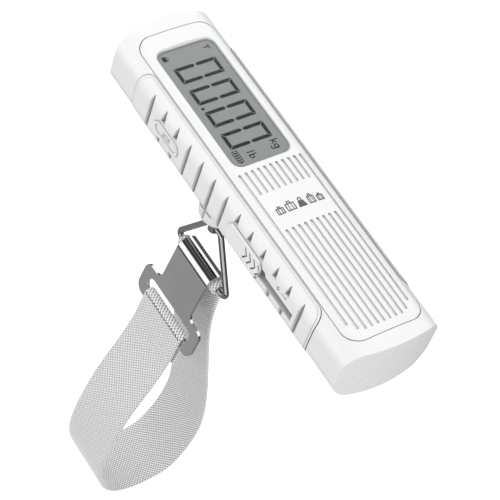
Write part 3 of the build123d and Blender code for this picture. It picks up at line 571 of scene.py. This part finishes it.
def draw_kilograms(pen, u, v):
    """The unit sign kg, its foot at (u, v)."""
    pen.stroke([(u, v), (u, v + 2.9)], SIGN_LINE)
    pen.stroke([(u + 0.3, v + 0.9), (u + 1.3, v + 1.9)], SIGN_LINE)
    pen.stroke([(u + 0.5, v + 1.2), (u + 1.4, v)], SIGN_LINE)
    pen.arc(u + 2.7, v + 1.0, 0.75, 0, 360, SIGN_LINE)
    pen.stroke([(u + 3.45, v + 1.9), (u + 3.45, v - 0.3)], SIGN_LINE)
    pen.arc(u + 2.7, v - 0.3, 0.75, 0, -140, SIGN_LINE)


def draw_pounds(pen, u, v):
    """The unit sign lb, its foot at (u, v)."""
    pen.stroke([(u, v), (u, v + 2.9)], SIGN_LINE)
    pen.stroke([(u + 1.2, v), (u + 1.2, v + 2.9)], SIGN_LINE)
    pen.arc(u + 1.95, v + 0.95, 0.75, 0, 360, SIGN_LINE)


def draw_battery(pen, u, v):
    """Charge sign: a case with a nub and four bars."""
    pen.frame(u, v, 5.0, 2.4, 0.3)
    pen.box(u + 2.75, v, 0.4, 1.1)
    for k in range(4):
        pen.box(u - 1.5 + k, v, 0.55, 1.4)


# ---- printed signs, and painted shade for engraved ones ------------------------------------
def crown_place(u, v):
    """Place on the crowned face: across runs along +Y, up along -X."""
    return LABEL_X - v, u, -u * u / (2 * FACE_CROWN_R) + PRINT_LIFT


def draw_suitcase(pen, u, width, height):
    """Suitcase standing on the line, with two ribs and a handle."""
    body = height * 0.78
    base = LABEL_BASE
    line = SIGN_LINE
    pen.frame(u, base + body / 2, width, body, line)
    for k in (-1, 1):
        pen.box(u + k * width * 0.17, base + body / 2, line * 0.8, body - 2 * line)
    grip = width * 0.4
    pen.box(u, base + height - line / 2, grip, line)
    for k in (-1, 1):
        pen.box(u + k * (grip - line) / 2, base + (body + height - line) / 2, line, height - body - line)


def draw_weight(pen, u, height):
    """Balance weight: a sloped block under a ring."""
    base = LABEL_BASE
    body = height * 0.62
    steps = 3
    for k in range(steps):
        a = -1.7 + 3.4 * k / steps
        b = a + 3.4 / steps
        pen.shape([(u + a, base), (u + b, base), (u + b * 0.62, base + body), (u + a * 0.62, base + body)])
    pen.arc(u, base + body + 0.62, 0.62, -60, 240, 0.4)


def make_label():
    """Row of plain travel signs between the two fields of ribs."""
    pen = Pen(crown_place)
    draw_suitcase(pen, -7.6, 3.0, 3.4)
    draw_suitcase(pen, -3.4, 3.6, 4.1)
    draw_weight(pen, 1.0, 4.1)
    draw_suitcase(pen, 5.1, 2.8, 4.1)
    draw_suitcase(pen, 8.6, 2.6, 3.1)
    pen.finish("face_signs", "print_ink")


def make_button_signs():
    """Two opposed arrows on the button, for changing the unit: flat grey marks that paint the shade of an
    engraved sign.
    """
    pen = Pen(lambda u, v: (BUTTON_X + u, SIDE_Y - 0.01, CONTROL_Z + v))
    for way in (-1, 1):
        v = 0.62 * way
        tip = 2.6 * way
        pen.box(-0.3 * way, v, 4.0, 0.34)
        pen.shape([(tip, v), (tip - 1.2 * way, v + 0.55), (tip - 1.2 * way, v - 0.55)])
    mesh_object("button_signs", pen.solid.vertices, pen.solid.faces, "unit_button", "dark_plastic",
                "painted_engraving_shade", False)


def make_charge_sign():
    """Small lightning bolt and an arrow above the slider's slot, for the hand-powered charger: flat grey
    marks that paint the shade of a debossed sign.
    """
    pen = Pen(lambda u, v: (CHARGE_SIGN_X + u, SIDE_Y - PRINT_LIFT, CHARGE_SIGN_Z + v))
    pen.shape([(0.35, 1.35), (-0.95, -0.2), (0.05, -0.2)])
    pen.shape([(-0.35, -1.35), (0.95, 0.2), (-0.05, 0.2)])
    pen.stroke([(2.2, 0.0), (4.4, 0.0)], 0.3)
    pen.shape([(5.2, 0.0), (4.2, 0.5), (4.2, -0.5)])
    pen.finish("charge_sign", "painted_engraving_shade")


# ---- camera, light and floor ---------------------------------------------------------------
def make_camera():
    """Camera at the viewing angle of a three-quarter product shot, with a slight roll."""
    azimuth, elevation, roll = math.radians(40.17), math.radians(50.73), math.radians(21.53)
    distance = 700.0
    aim = Vector((15.88, -17.08, -14.8))
    back = Vector((math.sin(azimuth) * math.cos(elevation), -math.cos(azimuth) * math.cos(elevation),
                   math.sin(elevation)))
    level = Vector((math.cos(azimuth), math.sin(azimuth), 0))
    upright = back.cross(level)
    right = level * math.cos(roll) + upright * math.sin(roll)
    up = back.cross(right)
    data = bpy.data.cameras.new("camera")
    data.sensor_width = 36.0
    data.lens = 150.9
    data.clip_start, data.clip_end = 0.05, 20.0
    camera = bpy.data.objects.new("camera", data)
    bpy.context.scene.collection.objects.link(camera)
    place = Matrix((right, up, back)).transposed().to_4x4()
    place.translation = (aim + back * distance) * MM
    camera.matrix_world = place
    bpy.context.scene.camera = camera


def area_light(name, place, aim, size, power):
    """Soft square light that doesn't show in reflections."""
    data = bpy.data.lights.new(name, "AREA")
    data.size = size
    data.energy = power
    light = bpy.data.objects.new(name, data)
    light.location = place
    light.visible_glossy = False
    light.rotation_mode = "QUATERNION"
    light.rotation_quaternion = (Vector(aim) - Vector(place)).to_track_quat("-Z", "Y")
    bpy.context.scene.collection.objects.link(light)


# Grey level of the soft light from straight below (0) to straight above (1).
WORLD_SOFT = [(0.0, 0.6), (0.42, 0.78), (0.5, 0.84), (0.75, 0.82), (1.0, 0.86)]
# Grey level that metal reflects, by angle about X in degrees: 0 is -Y, 90 is straight up.
BAND_STEPS = [(-180, 0.10), (-150, 0.12), (-60, 0.28), (-41, 0.28), (-34, 0.04), (-22, 0.03),
              (-16, 1.0), (28, 1.0), (35, 0.04), (58, 0.03), (66, 0.13), (74, 0.03),
              (96, 0.04), (104, 1.0), (146, 1.0), (153, 0.04), (180, 0.08)]
BAND_GAIN = 1.35


def world_ramp(tree, source, stops):
    """Colour ramp of grey levels over a 0 to 1 socket."""
    ramp = tree.nodes.new("ShaderNodeValToRGB")
    tree.links.new(source, ramp.inputs["Fac"])
    elements = ramp.color_ramp.elements
    elements[0].position, elements[1].position = stops[0][0], stops[-1][0]
    for position, _ in stops[1:-1]:
        elements.new(position)
    for element, (_, level) in zip(elements, stops):
        element.color = (level, level, level, 1)
    return ramp.outputs["Color"]


def world_mix(tree, factor, first, second):
    """Blends two colour sockets, or a socket and a plain colour, by a ray test."""
    mix = tree.nodes.new("ShaderNodeMix")
    mix.data_type = "RGBA"
    tree.links.new(factor, mix.inputs["Factor"])
    tree.links.new(first, mix.inputs["A"])
    if isinstance(second, tuple):
        mix.inputs["B"].default_value = second
    else:
        tree.links.new(second, mix.inputs["B"])
    return mix.outputs["Result"]


def world_math(tree, operation, first, second):
    """Maths node; either input is a socket or a number."""
    node = tree.nodes.new("ShaderNodeMath")
    node.operation = operation
    for socket, value in zip(node.inputs, (first, second)):
        if isinstance(value, (int, float)):
            socket.default_value = value
        else:
            tree.links.new(value, socket)
    return node.outputs["Value"]


def make_world():
    """Soft surroundings: white to the camera, graded for soft light, and banded for metal to reflect."""
    world = bpy.data.worlds.new("world")
    bpy.context.scene.world = world
    world.use_nodes = True
    tree = world.node_tree
    back = tree.nodes["Background"]
    place = tree.nodes.new("ShaderNodeTexCoord")
    split = tree.nodes.new("ShaderNodeSeparateXYZ")
    tree.links.new(place.outputs["Generated"], split.inputs["Vector"])
    height = world_math(tree, "MULTIPLY_ADD", split.outputs["Z"], 0.5)
    height.node.inputs[2].default_value = 0.5
    soft = world_ramp(tree, height, WORLD_SOFT)
    front = world_math(tree, "MULTIPLY", split.outputs["Y"], -1.0)
    angle = world_math(tree, "ARCTAN2", split.outputs["Z"], front)
    turn = world_math(tree, "MULTIPLY_ADD", angle, 1 / (2 * math.pi))
    turn.node.inputs[2].default_value = 0.5
    bands = world_ramp(tree, turn, [((step + 180) / 360, level) for step, level in BAND_STEPS])
    rays = tree.nodes.new("ShaderNodeLightPath")
    shown = world_mix(tree, rays.outputs["Is Glossy Ray"], soft, bands)
    shown = world_mix(tree, rays.outputs["Is Camera Ray"], shown, (1, 1, 1, 1))
    tree.links.new(shown, back.inputs["Color"])
    gain = world_math(tree, "MULTIPLY_ADD", rays.outputs["Is Glossy Ray"], BAND_GAIN - 1)
    gain.node.inputs[2].default_value = 1.0
    tree.links.new(gain, back.inputs["Strength"])


def make_stage():
    """Plain pale floor, seen only from above, that glows a little; and two large soft lights."""
    low = CAD_BOX[0][2] - 0.03
    mesh = bpy.data.meshes.new("floor")
    half = 6.0
    mesh.from_pydata([(-half, -half, low), (half, -half, low), (half, half, low), (-half, half, low)], [],
                     [(0, 1, 2, 3)])
    floor = bpy.data.objects.new("floor", mesh)
    bpy.context.scene.collection.objects.link(floor)
    n = Nodes("floor")
    n.join(n.tint(n.noise(3, 2), (0.88, 0.88, 0.88), (0.92, 0.92, 0.92)), n.shader.inputs["Base Color"])
    n.set(Roughness=0.9, Specular_IOR_Level=0.0, Emission_Color=(1, 1, 1, 1))
    rays = n.add("ShaderNodeLightPath")
    glow = n.add("ShaderNodeMapRange")
    glow.inputs["To Min"].default_value = 0.0
    glow.inputs["To Max"].default_value = 0.45
    n.join(rays.outputs["Is Camera Ray"], glow.inputs["Value"])
    n.join(glow.outputs["Result"], n.shader.inputs["Emission Strength"])
    side = n.add("ShaderNodeNewGeometry")
    upper = world_math(n.tree, "SUBTRACT", 1.0, side.outputs["Backfacing"])
    n.join(upper, n.shader.inputs["Alpha"])
    floor.data.materials.append(n.material)
    floor.visible_glossy = False
    area_light("key", (-0.55, -0.25, 0.9), (-0.02, 0, 0), 0.7, 4.15)
    area_light("fill", (0.9, -0.35, 0.25), (0, 0, -0.02), 0.6, 0.8)
    bpy.context.scene.view_settings.view_transform = "Standard"


paint_nodes()
make_webbing()
make_stitches()
make_display_ink()
make_label()
make_button_signs()
make_charge_sign()
make_camera()
make_world()
make_stage()
